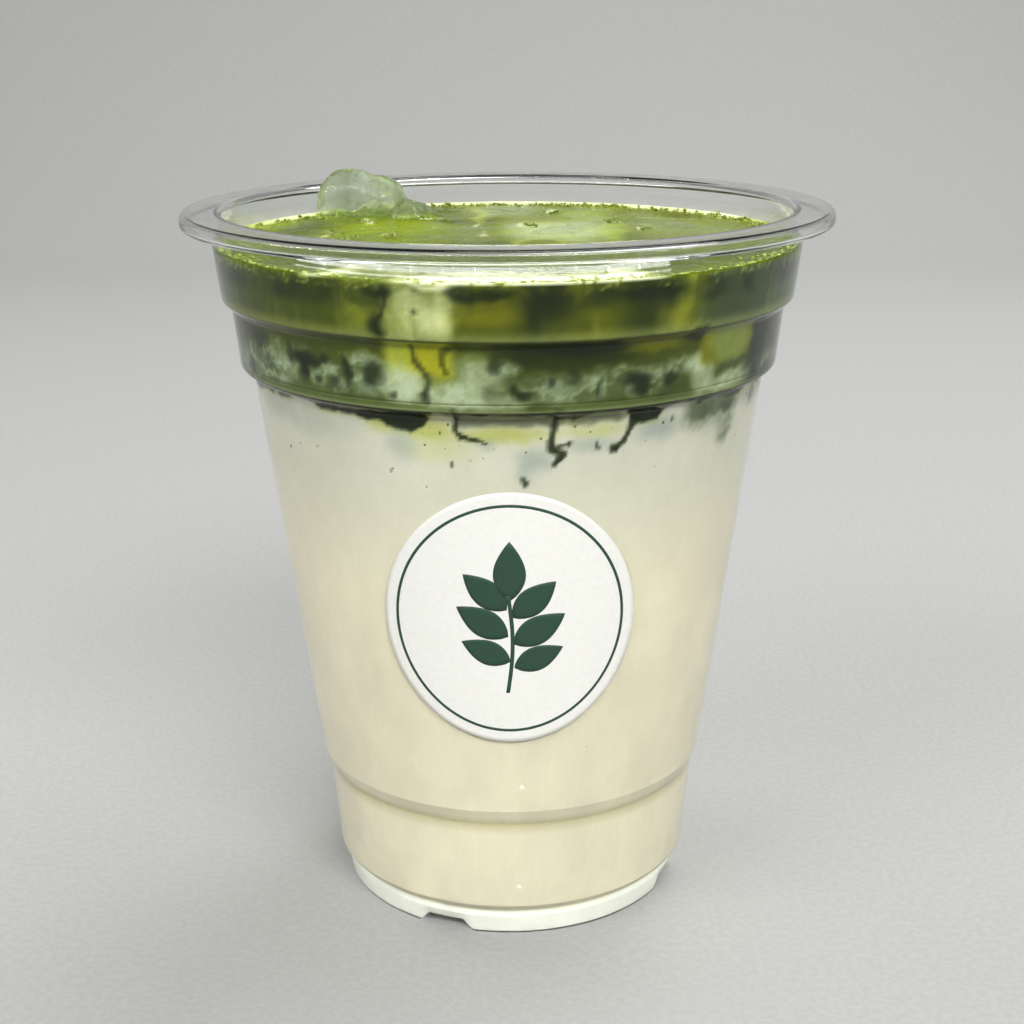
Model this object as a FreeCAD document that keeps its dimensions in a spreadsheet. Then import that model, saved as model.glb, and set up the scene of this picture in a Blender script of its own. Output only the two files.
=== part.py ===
import FreeCAD, Part
import math
import os
import Sketcher

# Iced matcha latte in a clear plastic cup. Millimetres, +Z up.
# Origin: centre of the ring on which the cup stands. The label faces -Y.

os.makedirs("parts", exist_ok=True)
doc = FreeCAD.newDocument("IcedLatte")

sizes = {
    # cup, heights stacked from the table upwards
    "wall": 0.45,
    "ledge_wall": 0.3,
    "foot_height": 3.2,
    "crease_rise": 1.1,
    "heel_rise": 1.05,
    "base_height": 14.9,
    "lower_step_rise": 2.5,
    "body_height": 62.3,
    "upper_step_rise": 1.2,
    "band_height": 8.9,
    "collar_height": 7.8,
    "bead_rise": 2.2,
    "neck_height": 2.65,
    # cup, radii stepped inwards from the rim down to the foot
    "rim_radius": 49.0,
    "flange_width": 5.6,
    "curl_drop": 2.1,
    "curl_lip": 1.5,
    "curl_round": 0.95,
    "bead_swell": 1.0,
    "collar_taper": 0.92,
    "collar_step": 1.42,
    "band_taper": 0.95,
    "band_step": 1.84,
    "body_taper": 8.2,
    "lower_step": 1.04,
    "lower_taper": 1.3,
    "heel_tuck": 1.23,
    "foot_swell": 0.2,
    "foot_draft": 0.54,
    "foot_width": 3.6,
    "panel_draft": 0.8,
    "panel_lift": 4.0,
    "ledge_round": 0.6,
    # notches in the foot
    "notch_count": 4,
    "notch_half_width": 4.6,
    "notch_slope": 1.6,
    "notch_lift": 1.7,
    "notch_turn": 22.5,
    # drink
    "headspace": 5.2,
    "matcha_depth": 16.3,
    "spare_height": 12.0,
    # lobes of matcha that sink into the milk along the wall
    "lobe_count": 11,
    "lobe_half_width": 5.5,
    "lobe_bite": 3.0,
    "lobe_length": 3.4,
    "lobe_swing": 2.2,
    # blocks of ice: half widths, heights, distance from the wall, rise above the drink
    "ice_round": 3.5,
    "ice_taper": 1.8,
    "peak_half_width": 10.0,
    "peak_half_depth": 6.0,
    "peak_height": 18.5,
    "peak_gap": 2.6,
    "peak_rise": 7.8,
    "middle_half_width": 9.5,
    "middle_half_depth": 15.5,
    "middle_height": 14.0,
    "middle_gap": 27.3,
    "back_half_width": 6.5,
    "back_half_depth": 6.5,
    "back_height": 12.0,
    "back_gap": 9.0,
    "right_half_width": 7.5,
    "right_half_depth": 11.0,
    "right_height": 13.0,
    "right_gap": 12.0,
    "flat_rise": 0.5,
    # round label wrapped on the front of the cup
    "label_half_wide": 17.7,
    "label_half_tall": 19.7,
    "label_height": 55.0,
    "label_thick": 0.15,
}

sheet = doc.addObject("Spreadsheet::Sheet", "Sizes")
for row, (name, value) in enumerate(sizes.items(), start=1):
    sheet.set("A%d" % row, name)
    sheet.set("B%d" % row, str(value))
    sheet.setAlias("B%d" % row, name)
doc.recompute()


# A length is written as a sum of size names, such as "rim_radius - wall".

def worth(length):
    total = 0.0
    sign = 1.0
    for word in length.split():
        if word in ("+", "-"):
            sign = 1.0 if word == "+" else -1.0
        else:
            total += sign * (sizes[word] if word in sizes else float(word))
    return total


def bound(length):
    return " ".join("Sizes." + word if word in sizes else word for word in length.split())


def opposite(length):
    swap = {"+": "-", "-": "+"}
    return "0 - " + " ".join(swap.get(word, word) for word in length.split())


# heights above the table
crease_z = "foot_height + crease_rise"
heel_z = crease_z + " + heel_rise"
lower_top_z = heel_z + " + base_height"
body_foot_z = lower_top_z + " + lower_step_rise"
body_top_z = body_foot_z + " + body_height"
band_foot_z = body_top_z + " + upper_step_rise"
band_top_z = band_foot_z + " + band_height"
collar_foot_z = band_top_z + " + upper_step_rise"
bead_z = collar_foot_z + " + collar_height"
neck_z = bead_z + " + bead_rise"
rim_z = neck_z + " + neck_height"
liquid_z = rim_z + " - headspace"
matcha_floor_z = liquid_z + " - matcha_depth"
open_z = rim_z + " + spare_height"

# outer radii
neck_r = "rim_radius - flange_width"
bead_r = neck_r + " + bead_swell"
collar_foot_r = bead_r + " - collar_taper"
band_top_r = collar_foot_r + " - collar_step"
band_foot_r = band_top_r + " - band_taper"
body_top_r = band_foot_r + " - band_step"
body_foot_r = body_top_r + " - body_taper"
lower_top_r = body_foot_r + " - lower_step"
heel_r = lower_top_r + " - lower_taper"
crease_r = heel_r + " - heel_tuck"
foot_top_r = crease_r + " + foot_swell"
foot_r = foot_top_r + " - foot_draft"
foot_inner_r = foot_r + " - foot_width"
panel_r = foot_inner_r + " - panel_draft"


def origin_feature(body, role):
    for feature in body.Origin.OriginFeatures:
        if feature.Role == role:
            return feature
    raise ValueError(role)


def outline_sketch(body, name, plane, corners):
    # closed polygon, every corner held by two distances bound to the sheet
    sketch = body.newObject("Sketcher::SketchObject", name)
    sketch.AttachmentSupport = [(origin_feature(body, plane), "")]
    sketch.MapMode = "FlatFace"
    points = [FreeCAD.Vector(worth(across), worth(up), 0) for across, up in corners]
    count = len(points)
    for i in range(count):
        sketch.addGeometry(Part.LineSegment(points[i], points[(i + 1) % count]), False)
    for i in range(count):
        sketch.addConstraint(Sketcher.Constraint("Coincident", i, 2, (i + 1) % count, 1))
    for i, (across, up) in enumerate(corners):
        held_x = sketch.addConstraint(Sketcher.Constraint("DistanceX", i, 1, points[i].x))
        held_y = sketch.addConstraint(Sketcher.Constraint("DistanceY", i, 1, points[i].y))
        sketch.setExpression("Constraints[%d]" % held_x, bound(across))
        sketch.setExpression("Constraints[%d]" % held_y, bound(up))
    return sketch


def turned(body, name, corners):
    sketch = outline_sketch(body, name + "_outline", "XZ_Plane", corners)
    turn = body.newObject("PartDesign::Revolution", name + "_turn")
    turn.Profile = sketch
    turn.ReferenceAxis = (origin_feature(body, "Z_Axis"), [""])
    turn.Angle = 360
    doc.recompute()
    return turn


def notched(body, base, half_width, lift):
    # trapezoid cut outwards through the foot, repeated round the axis
    outline = [
        (opposite(half_width), "0 - wall"),
        (half_width, "0 - wall"),
        (half_width, "0"),
        (half_width + " - notch_slope", lift),
        (opposite(half_width) + " + notch_slope", lift),
        (opposite(half_width), "0"),
    ]
    sketch = outline_sketch(body, body.Name + "_notch_outline", "XZ_Plane", outline)
    upright = FreeCAD.Vector(0, 1, 0)
    turn = FreeCAD.Rotation(upright, worth("0 - notch_turn"))
    sketch.AttachmentOffset = FreeCAD.Placement(FreeCAD.Vector(), turn)
    sketch.setExpression("AttachmentOffset.Rotation.Angle", bound("0 - notch_turn"))
    notch = body.newObject("PartDesign::Pocket", body.Name + "_notch")
    notch.Profile = sketch
    notch.setExpression("Length", bound("rim_radius"))
    doc.recompute()
    if abs(notch.Shape.Volume - base.Shape.Volume) < 0.01:
        notch.Reversed = True
        doc.recompute()
    ring = body.newObject("PartDesign::PolarPattern", body.Name + "_notches")
    ring.Originals = [notch]
    ring.Axis = (origin_feature(body, "Z_Axis"), [""])
    ring.Angle = 360
    ring.setExpression("Occurrences", bound("notch_count"))
    body.Tip = ring
    doc.recompute()
    return ring


def edges_at(shape, corners):
    # names of the full circles that lie at the given radii and heights
    found = []
    for index, edge in enumerate(shape.Edges, start=1):
        if edge.Curve.TypeId != "Part::GeomCircle":
            continue
        for across, up in corners:
            same_radius = abs(edge.Curve.Radius - worth(across)) < 1e-4
            same_height = abs(edge.Curve.Center.z - worth(up)) < 1e-4
            if same_radius and same_height:
                found.append("Edge%d" % index)
    return found


def rounded(body, name, base, edges, radius):
    fillet = body.newObject("PartDesign::Fillet", name)
    fillet.Base = (base, edges)
    fillet.Radius = sizes[radius]
    fillet.setExpression("Radius", bound(radius))
    body.Tip = fillet
    doc.recompute()
    return fillet


def paired(kind, name, base, tool):
    result = doc.addObject("Part::" + kind, name)
    result.Base = base
    result.Tool = tool
    doc.recompute()
    return result


def cup_outside():
    body = doc.addObject("PartDesign::Body", "cup_outside")
    under_flange_z = rim_z + " - wall"
    curl_foot_z = rim_z + " - curl_drop"
    ledges = [
        (heel_r, heel_z),
        (lower_top_r, lower_top_z),
        (body_foot_r, body_foot_z),
        (body_top_r, body_top_z),
        (band_foot_r, band_foot_z),
        (band_top_r, band_top_z),
        (collar_foot_r, collar_foot_z),
        (bead_r, bead_z),
    ]
    curl = [
        ("rim_radius", curl_foot_z),
        ("rim_radius", rim_z),
    ]
    corners = [
        ("0", "panel_lift"),
        (panel_r, "panel_lift"),
        (foot_inner_r, "0"),
        (foot_r, "0"),
        (foot_top_r, "foot_height"),
        (crease_r, crease_z),
    ] + ledges + [
        (neck_r, neck_z),
        (neck_r, under_flange_z),
        ("rim_radius - wall", under_flange_z),
        ("rim_radius - wall", curl_foot_z + " + wall"),
        ("rim_radius - curl_lip", curl_foot_z + " + wall"),
        ("rim_radius - curl_lip", curl_foot_z),
    ] + curl + [
        ("0", rim_z),
    ]
    base = turned(body, "outside", corners)
    base = notched(body, base, "notch_half_width", "notch_lift")
    base = rounded(body, "ledge_rounds", base, edges_at(base.Shape, ledges), "ledge_round")
    rounded(body, "curl_rounds", base, edges_at(base.Shape, curl), "curl_round")
    return body


def cup_inside():
    # the space in the cup: every wall one thickness further in, open upwards
    body = doc.addObject("PartDesign::Body", "cup_inside")
    corners = [
        ("0", "panel_lift + wall"),
        (panel_r + " + wall", "panel_lift + wall"),
        (foot_inner_r + " + wall", "wall"),
        (foot_r + " - wall", "wall"),
        (foot_top_r + " - wall", "foot_height"),
        (crease_r + " - wall", crease_z + " + ledge_wall"),
        (heel_r + " - wall", heel_z + " + ledge_wall"),
        (lower_top_r + " - wall", lower_top_z + " + ledge_wall"),
        (body_foot_r + " - wall", body_foot_z + " + ledge_wall"),
        (body_top_r + " - wall", body_top_z + " + ledge_wall"),
        (band_foot_r + " - wall", band_foot_z + " + ledge_wall"),
        (band_top_r + " - wall", band_top_z + " + ledge_wall"),
        (collar_foot_r + " - wall", collar_foot_z + " + ledge_wall"),
        (bead_r + " - wall", bead_z),
        (neck_r + " - wall", neck_z),
        (neck_r + " - wall", open_z),
        ("0", open_z),
    ]
    base = turned(body, "inside", corners)
    notched(body, base, "notch_half_width + wall", "notch_lift + wall")
    return body


def ice_block(name, bearing, spin, lean, rise, neighbours):
    # rounded block with slanted sides, cut back where it meets the wall or an earlier block
    body = doc.addObject("PartDesign::Body", name + "_block")
    width = name + "_half_width"
    depth = name + "_half_depth"
    outline = [
        ("0 - " + width, "0 - " + depth),
        (width, "ice_taper - " + depth),
        (width + " - ice_taper", depth),
        ("ice_taper - " + width, depth + " - ice_taper"),
    ]
    sketch = outline_sketch(body, name + "_outline", "XY_Plane", outline)
    pad = body.newObject("PartDesign::Pad", name + "_pad")
    pad.Profile = sketch
    pad.setExpression("Length", bound(name + "_height"))
    doc.recompute()
    edges = ["Edge%d" % index for index in range(1, len(pad.Shape.Edges) + 1)]
    rounded(body, name + "_rounds", pad, edges, "ice_round")
    turn = FreeCAD.Rotation(FreeCAD.Vector(0, 0, 1), spin)
    tip = FreeCAD.Rotation(FreeCAD.Vector(0, 1, 0), lean)
    body.Placement = FreeCAD.Placement(FreeCAD.Vector(), turn.multiply(tip))
    doc.recompute()
    highest = body.Shape.BoundBox.ZMax
    reach = "(%s)" % bound(neck_r + " - " + name + "_gap")
    body.setExpression("Placement.Base.x", "%s * cos(%d)" % (reach, bearing))
    body.setExpression("Placement.Base.y", "%s * sin(%d)" % (reach, bearing))
    body.setExpression("Placement.Base.z", "%s - %.4f" % (bound(liquid_z + " + " + rise), highest))
    doc.recompute()
    if not neighbours:
        return paired("Common", "ice_" + name, body, inside)
    block = paired("Common", name + "_in_cup", body, inside)
    for i, other in enumerate(neighbours[:-1]):
        block = paired("Cut", "%s_cut_%d" % (name, i + 1), block, other)
    return paired("Cut", "ice_" + name, block, neighbours[-1])


def matcha_space():
    # everything above the floor of the matcha, with round lobes sunk into the milk along the wall
    slab = doc.addObject("Part::Cylinder", "matcha_slab")
    slab.setExpression("Radius", bound("rim_radius"))
    slab.setExpression("Height", bound("matcha_depth"))
    slab.setExpression("Placement.Base.z", bound(matcha_floor_z))
    pieces = [slab]
    # two sine waves set the lobes a little unevenly, in bearing and in depth
    bearing_wave = 1.7
    bearing_share = 0.25
    depth_wave = 2.6
    count = sizes["lobe_count"]
    reach = "(%s)" % bound(band_foot_r + " - wall - lobe_bite")
    for i in range(count):
        bearing = 360.0 * (i + bearing_share * math.sin(bearing_wave * i)) / count
        swing = math.sin(depth_wave * i)
        depth = "%s + %.3f * Sizes.lobe_swing" % (bound("lobe_length"), swing)
        lobe = doc.addObject("Part::Cylinder", "lobe_%d" % (i + 1))
        lobe.setExpression("Radius", bound("lobe_half_width"))
        lobe.setExpression("Height", bound("lobe_bite + spare_height"))
        outwards = FreeCAD.Vector(math.cos(math.radians(bearing)), math.sin(math.radians(bearing)), 0)
        lobe.Placement.Rotation = FreeCAD.Rotation(FreeCAD.Vector(0, 0, 1), outwards)
        lobe.setExpression("Placement.Base.x", "%s * cos(%.3f)" % (reach, bearing))
        lobe.setExpression("Placement.Base.y", "%s * sin(%.3f)" % (reach, bearing))
        middle_z = bound(matcha_floor_z + " + lobe_half_width")
        lobe.setExpression("Placement.Base.z", "%s - (%s)" % (middle_z, depth))
        pieces.append(lobe)
    space = doc.addObject("Part::MultiFuse", "matcha_space")
    space.Shapes = pieces
    doc.recompute()
    return space


def headroom():
    air = doc.addObject("Part::Cylinder", "headroom")
    air.setExpression("Radius", bound("rim_radius"))
    air.setExpression("Height", bound("headspace + spare_height"))
    air.setExpression("Placement.Base.z", bound(liquid_z))
    doc.recompute()
    return air


def front_label():
    # disc punched from a thin layer that lies on the tapered wall
    body = doc.addObject("PartDesign::Body", "label_layer")
    corners = [
        (body_foot_r, body_foot_z + " + ledge_round"),
        (body_foot_r + " + label_thick", body_foot_z + " + ledge_round"),
        (body_top_r + " + label_thick", body_top_z + " - ledge_round"),
        (body_top_r, body_top_z + " - ledge_round"),
    ]
    turned(body, "layer", corners)
    disc = doc.addObject("Part::Ellipse", "label_disc")
    disc.setExpression("MajorRadius", bound("label_half_tall"))
    disc.setExpression("MinorRadius", bound("label_half_wide"))
    punch = doc.addObject("Part::Extrusion", "label_punch")
    punch.Base = disc
    punch.DirMode = "Custom"
    punch.Dir = FreeCAD.Vector(0, 0, 1)
    punch.setExpression("LengthFwd", bound("rim_radius"))
    punch.Solid = True
    upright = FreeCAD.Rotation(FreeCAD.Vector(0, 0, 1), 90)
    forward = FreeCAD.Rotation(FreeCAD.Vector(1, 0, 0), 90)
    punch.Placement.Rotation = forward.multiply(upright)
    punch.setExpression("Placement.Base.z", bound("label_height"))
    doc.recompute()
    return paired("Common", "label", body, punch)


outside = cup_outside()
inside = cup_inside()
cup = paired("Cut", "cup", outside, inside)

ices = []
ices.append(ice_block("peak", bearing=127, spin=-15, lean=27, rise="peak_rise", neighbours=ices))
ices.append(ice_block("middle", bearing=54, spin=8, lean=2, rise="flat_rise", neighbours=ices))
ices.append(ice_block("back", bearing=88, spin=-6, lean=-2, rise="flat_rise", neighbours=ices))
ices.append(ice_block("right", bearing=28, spin=-20, lean=-3, rise="flat_rise", neighbours=ices))

upper = matcha_space()
air = headroom()
all_ice = doc.addObject("Part::MultiFuse", "all_ice")
all_ice.Shapes = ices
filling = paired("Cut", "filling", inside, air)
matcha_fill = paired("Common", "matcha_fill", filling, upper)
matcha = paired("Cut", "matcha", matcha_fill, all_ice)
milk_fill = paired("Cut", "milk_fill", filling, upper)
milk = paired("Cut", "milk", milk_fill, all_ice)
label = front_label()
doc.recompute()

for item in doc.Objects:
    if "Invalid" in item.State or "Error" in item.State:
        raise RuntimeError("%s did not build: %s" % (item.Name, item.State))

for piece in [cup, milk, matcha, label] + ices:
    shape = piece.Shape
    if shape.isNull() or not shape.isValid():
        raise RuntimeError("%s has no valid shape" % piece.Label)
    print(piece.Label, "solids", len(shape.Solids), "volume %.0f" % shape.Volume, shape.BoundBox)
    shape.exportStep("parts/%s.step" % piece.Label)
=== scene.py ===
import math
import bmesh
import bpy
import numpy as np
from mathutils import Matrix, Vector, noise


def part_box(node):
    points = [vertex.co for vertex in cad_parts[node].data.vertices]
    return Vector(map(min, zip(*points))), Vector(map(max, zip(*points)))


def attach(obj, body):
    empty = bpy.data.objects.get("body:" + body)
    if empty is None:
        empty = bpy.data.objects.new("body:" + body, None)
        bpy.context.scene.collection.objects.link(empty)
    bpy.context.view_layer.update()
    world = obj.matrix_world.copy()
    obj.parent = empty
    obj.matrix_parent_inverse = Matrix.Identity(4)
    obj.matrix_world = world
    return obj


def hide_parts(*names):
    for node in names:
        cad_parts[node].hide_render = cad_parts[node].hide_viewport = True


# Iced matcha latte in a clear cup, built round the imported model. Metres, +Z up, label towards -Y.
# Lengths in the dictionaries are millimetres, bearings are degrees, 0 at the front and + to the right.

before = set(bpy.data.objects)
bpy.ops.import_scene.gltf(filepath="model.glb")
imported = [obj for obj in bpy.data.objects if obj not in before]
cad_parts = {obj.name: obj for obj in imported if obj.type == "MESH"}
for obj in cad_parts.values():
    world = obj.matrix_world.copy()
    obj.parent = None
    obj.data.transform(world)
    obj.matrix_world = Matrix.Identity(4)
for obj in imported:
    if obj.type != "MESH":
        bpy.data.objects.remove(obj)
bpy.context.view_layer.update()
mm = 0.001
cupLow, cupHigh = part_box("cup")
rimRadius = (cupHigh.x - cupLow.x) / 2 / mm
rimHeight = cupHigh.z / mm
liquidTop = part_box("matcha")[1].z / mm
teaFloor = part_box("milk")[1].z / mm
print("frame loaded: rim radius %.2f, rim height %.2f, drink up to %.2f" % (rimRadius, rimHeight, liquidTop))


def linear(colour):
    # colours are written 0-255 as a picker shows them
    c = np.asarray(colour, float) / 255.0
    return np.where(c <= 0.04045, c / 12.92, ((c + 0.055) / 1.055) ** 2.4)


def rgba(colour):
    return tuple(float(v) for v in linear(colour)) + (1.0,)


def smooth(low, high, value):
    t = np.clip((value - low) / (high - low), 0, 1)
    return t * t * (3 - 2 * t)


def between(low, high, soft, value):
    return smooth(low - soft, low + soft, value) * (1 - smooth(high - soft, high + soft, value))


def mix(under, colour, amount):
    return under + (np.array(colour, float) - under) * np.clip(amount, 0, 1)[..., None]


def coated(paint, tones, coats):
    # coats of (tone, amount) laid one over the other
    for tone, amount in coats:
        paint = mix(paint, tones[tone], amount)
    return paint


def filled(shape, tone):
    return np.zeros(shape + (3,)) + np.array(tone, float)


def around(turn, radius, height):
    # a place at a turn in radians from the front
    return radius * math.sin(turn), -radius * math.cos(turn), height


def makePiece(name, points, faces, material, standsFor=()):
    mesh = bpy.data.meshes.new(name)
    mesh.from_pydata((np.asarray(points) * mm).tolist(), [], faces)
    mesh.update()
    mesh.shade_smooth()
    piece = bpy.data.objects.new(name, mesh)
    bpy.context.scene.collection.objects.link(piece)
    mesh.materials.append(material)
    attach(piece, "root")
    if standsFor:
        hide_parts(*standsFor)
    return piece


def storePaint(piece, colours):
    layer = piece.data.color_attributes.new("paint", "FLOAT_COLOR", "POINT")
    packed = np.ones((len(colours), 4), np.float32)
    packed[:, :3] = linear(colours)
    layer.data.foreach_set("color", packed.ravel())


def latheFaces(rows, columns):
    # rows of rings between two poles; the first and last points are the poles
    faces = []
    last = 1 + rows * columns
    for j in range(columns):
        faces.append((0, 1 + (j + 1) % columns, 1 + j))
        faces.append((last, last - columns + j, last - columns + (j + 1) % columns))
    for i in range(rows - 1):
        a = 1 + i * columns
        b = a + columns
        for j in range(columns):
            k = (j + 1) % columns
            faces.append((a + j, a + k, b + k, b + j))
    return faces


def lathePoints(outline, columns):
    # outline of (radius, height) from the axis, round the outside, back to the axis
    outline = np.asarray(outline, float)
    turn = np.arange(columns) * 2 * np.pi / columns
    rings = outline[1:-1]
    x = rings[:, :1] * np.sin(turn)
    y = -rings[:, :1] * np.cos(turn)
    z = np.repeat(rings[:, 1:], columns, axis=1)
    body = np.stack([x, y, z], axis=-1).reshape(-1, 3)
    return np.vstack([[(0, 0, outline[0, 1])], body, [(0, 0, outline[-1, 1])]])


def divided(outline, longest):
    # extra points so that no step is longer than longest(height)
    result = [outline[0]]
    for start, end in zip(outline[:-1], outline[1:]):
        start = np.array(start, float)
        end = np.array(end, float)
        count = int(math.ceil(np.linalg.norm(end - start) / longest((start[1] + end[1]) / 2)))
        for i in range(1, count + 1):
            result.append(tuple(start + (end - start) * i / count))
    return result


def withRounds(outline, rounds, steps=5):
    # every corner that has a radius becomes an arc
    result = []
    for i, corner in enumerate(outline):
        radius = rounds.get(i, 0)
        if not radius:
            result.append(tuple(corner))
            continue
        here = np.array(corner, float)
        back = np.array(outline[i - 1], float) - here
        ahead = np.array(outline[i + 1], float) - here
        lengths = np.linalg.norm(back), np.linalg.norm(ahead)
        back = back / lengths[0]
        ahead = ahead / lengths[1]
        half = math.acos(max(-1.0, min(1.0, float(back @ ahead)))) / 2
        reach = min(radius / math.tan(half), 0.48 * min(lengths))
        radius = reach * math.tan(half)
        middle = here + (back + ahead) / np.linalg.norm(back + ahead) * radius / math.sin(half)
        first = here + back * reach - middle
        last = here + ahead * reach - middle
        beside = 0.1  # a row on each flat keeps its shading straight
        if lengths[0] > 2 * reach + 2 * beside:
            result.append(tuple(here + back * (reach + beside)))
        for step in range(steps + 1):
            arm = first + (last - first) * step / steps
            result.append(tuple(middle + arm / np.linalg.norm(arm) * radius))
        if lengths[1] > 2 * reach + 2 * beside:
            result.append(tuple(here + ahead * (reach + beside)))
    return result


def nodesOf(name, values):
    material = bpy.data.materials.new(name)
    material.use_nodes = True
    tree = material.node_tree
    tree.nodes.clear()
    output = tree.nodes.new("ShaderNodeOutputMaterial")
    shader = tree.nodes.new("ShaderNodeBsdfPrincipled")
    tree.links.new(shader.outputs[0], output.inputs[0])
    for key, value in values.items():
        shader.inputs[key].default_value = value
    return material, tree, shader, output


def add(tree, kind, **settings):
    node = tree.nodes.new(kind)
    for key, value in settings.items():
        if key in node.inputs:
            node.inputs[key].default_value = value
        else:
            setattr(node, key, value)
    return node


def noiseTexture(tree, scale, detail=3.0, roughness=0.55, distortion=0.0):
    place = tree.nodes.new("ShaderNodeTexCoord")
    texture = add(tree, "ShaderNodeTexNoise", Scale=scale, Detail=detail, Roughness=roughness,
                  Distortion=distortion)
    tree.links.new(place.outputs["Object"], texture.inputs["Vector"])
    return texture


def ramp(tree, source, low, high, fromValue=0.0, toValue=1.0):
    node = add(tree, "ShaderNodeMapRange")
    node.inputs["From Min"].default_value = low
    node.inputs["From Max"].default_value = high
    node.inputs["To Min"].default_value = fromValue
    node.inputs["To Max"].default_value = toValue
    tree.links.new(source, node.inputs["Value"])
    return node.outputs["Result"]


def bump(tree, shader, source, strength, distance):
    node = add(tree, "ShaderNodeBump", Strength=strength, Distance=distance)
    tree.links.new(source, node.inputs["Height"])
    tree.links.new(node.outputs[0], shader.inputs["Normal"])


def twoTones(tree, shader, texture, low, high, steps):
    # the base colour goes from one tone to the other with the texture
    blend = add(tree, "ShaderNodeMix", data_type="RGBA")
    blend.inputs[6].default_value = rgba(low)
    blend.inputs[7].default_value = rgba(high)
    tree.links.new(ramp(tree, texture.outputs["Fac"], *steps), blend.inputs[0])
    tree.links.new(blend.outputs[2], shader.inputs["Base Color"])


def paintUnder(tree, shader, texture, share):
    # the stored paint, lightly broken up by the texture
    layer = add(tree, "ShaderNodeAttribute", attribute_name="paint")
    blend = add(tree, "ShaderNodeMix", data_type="RGBA", blend_type="SOFT_LIGHT")
    blend.inputs[0].default_value = share
    tree.links.new(layer.outputs["Color"], blend.inputs[6])
    tree.links.new(texture.outputs["Fac"], blend.inputs[7])
    tree.links.new(blend.outputs[2], shader.inputs["Base Color"])


def lampsThrough(tree, shader, output):
    # light reaches the drink through the clear wall
    path = tree.nodes.new("ShaderNodeLightPath")
    clear = tree.nodes.new("ShaderNodeBsdfTransparent")
    blend = tree.nodes.new("ShaderNodeMixShader")
    tree.links.new(path.outputs["Is Shadow Ray"], blend.inputs[0])
    tree.links.new(shader.outputs[0], blend.inputs[1])
    tree.links.new(clear.outputs[0], blend.inputs[2])
    tree.links.new(blend.outputs[0], output.inputs[0])


view = {
    "lens": 57.87,
    "sensor": 36.0,
    "clip": (0.01, 20),
    "place": (0.42, -251.83, 138.69),
    "tilt": 17.33,  # degrees below the horizon
    "roll": -0.36,
}


def makeCamera():
    data = bpy.data.cameras.new("camera")
    data.lens = view["lens"]
    data.sensor_width = view["sensor"]
    data.clip_start, data.clip_end = view["clip"]
    camera = bpy.data.objects.new("camera", data)
    bpy.context.scene.collection.objects.link(camera)
    lean = Matrix.Rotation(math.radians(90 - view["tilt"]), 4, "X")
    roll = Matrix.Rotation(math.radians(view["roll"]), 4, "Z")
    camera.matrix_world = Matrix.Translation(Vector(view["place"]) * mm) @ lean @ roll
    bpy.context.scene.camera = camera


makeCamera()
print("camera set")


cupNeck = [(44.4, 104.15), (43.4, 106.35)]  # (radius, height) at the foot and top of the sloped neck

# lengths of the studio are metres
studio = {
    "floor": (180, 180, 178),
    "backdrop": (175, 175, 174),
    "worldStrength": 0.24,
    "worldSeen": 0.42,
    "floorFront": -2.2,
    "halfWidth": 2.5,
    "wallBehind": 0.62,
    "wallTop": 2.0,
    "bend": 0.30,
    "bendSteps": 24,
    "softbox": ((0.28, 0.2, 0.8), (0, 0, 0.05), (0.6, 0.4), 3.0),  # place, aim, size, power
    "fill": ((0.9, -0.7, 0.3), (0, 0, 0.06), (0.4, 0.5), 0.6),
    "keys": [(-50, 3.0), (20, 6.3), (150, 2.8), (-125, 2.2)],  # bearing and power
    "keySize": (0.5, 0.35),
    "keyDistance": 0.75,
    "keyHeight": 0.70,
    "keyAim": (0, 0, 0.06),
    "tubeBearings": (-39.0, 28.5),  # part of the cup's neck in which the tube light shows
    "tubeAim": (0, 0, 0.1),
    "tubeRise": 0.60,
    "tubeWidth": 0.06,
    "tubeOverlap": 1.02,
    "tubeRadiance": 34.0,
    "tubeCount": 12,
}


def makeStudio():
    # floor that bends up into the backdrop
    outline = [(studio["floorFront"], 0.0)]
    bend = studio["bend"]
    for i in range(studio["bendSteps"] + 1):
        turn = math.pi / 2 * i / studio["bendSteps"]
        outline.append((studio["wallBehind"] + bend * math.sin(turn), bend * (1 - math.cos(turn))))
    outline.append((outline[-1][0], studio["wallTop"]))
    points = [(x, y, z) for y, z in outline for x in (-studio["halfWidth"], studio["halfWidth"])]
    faces = [(2 * i, 2 * i + 1, 2 * i + 3, 2 * i + 2) for i in range(len(outline) - 1)]
    mesh = bpy.data.meshes.new("backdrop")
    mesh.from_pydata(points, [], faces)
    mesh.shade_smooth()
    backdrop = bpy.data.objects.new("backdrop", mesh)
    bpy.context.scene.collection.objects.link(backdrop)
    values = {"Roughness": 0.9, "Specular IOR Level": 0.1}
    material, tree, shader, output = nodesOf("paper backdrop", values)
    grain = noiseTexture(tree, 900.0, 2.0)
    twoTones(tree, shader, grain, studio["floor"], studio["backdrop"], (0.4, 0.6))
    mesh.materials.append(material)


def areaLamp(name, place, aim, size, power):
    data = bpy.data.lights.new(name, "AREA")
    data.shape = "RECTANGLE"
    data.size, data.size_y = size
    data.energy = power
    lamp = bpy.data.objects.new(name, data)
    bpy.context.scene.collection.objects.link(lamp)
    lamp.location = place
    lamp.rotation_euler = (Vector(aim) - Vector(place)).to_track_quat("-Z", "Y").to_euler()
    return lamp


def mirroredPlace(bearing):
    # where a light stands that the sloped neck mirrors into the camera
    lower, upper = cupNeck
    turn = math.radians(bearing)
    spot = Vector(around(turn, (lower[0] + upper[0]) / 2, (lower[1] + upper[1]) / 2))
    rise = math.atan2(lower[0] - upper[0], upper[1] - lower[1])
    outwards = Vector(around(turn, math.cos(rise), math.sin(rise)))
    towards = (Vector(view["place"]) - spot).normalized()
    away = 2 * outwards.dot(towards) * outwards - towards
    return spot * mm + away * studio["tubeRise"] / away.z


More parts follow.
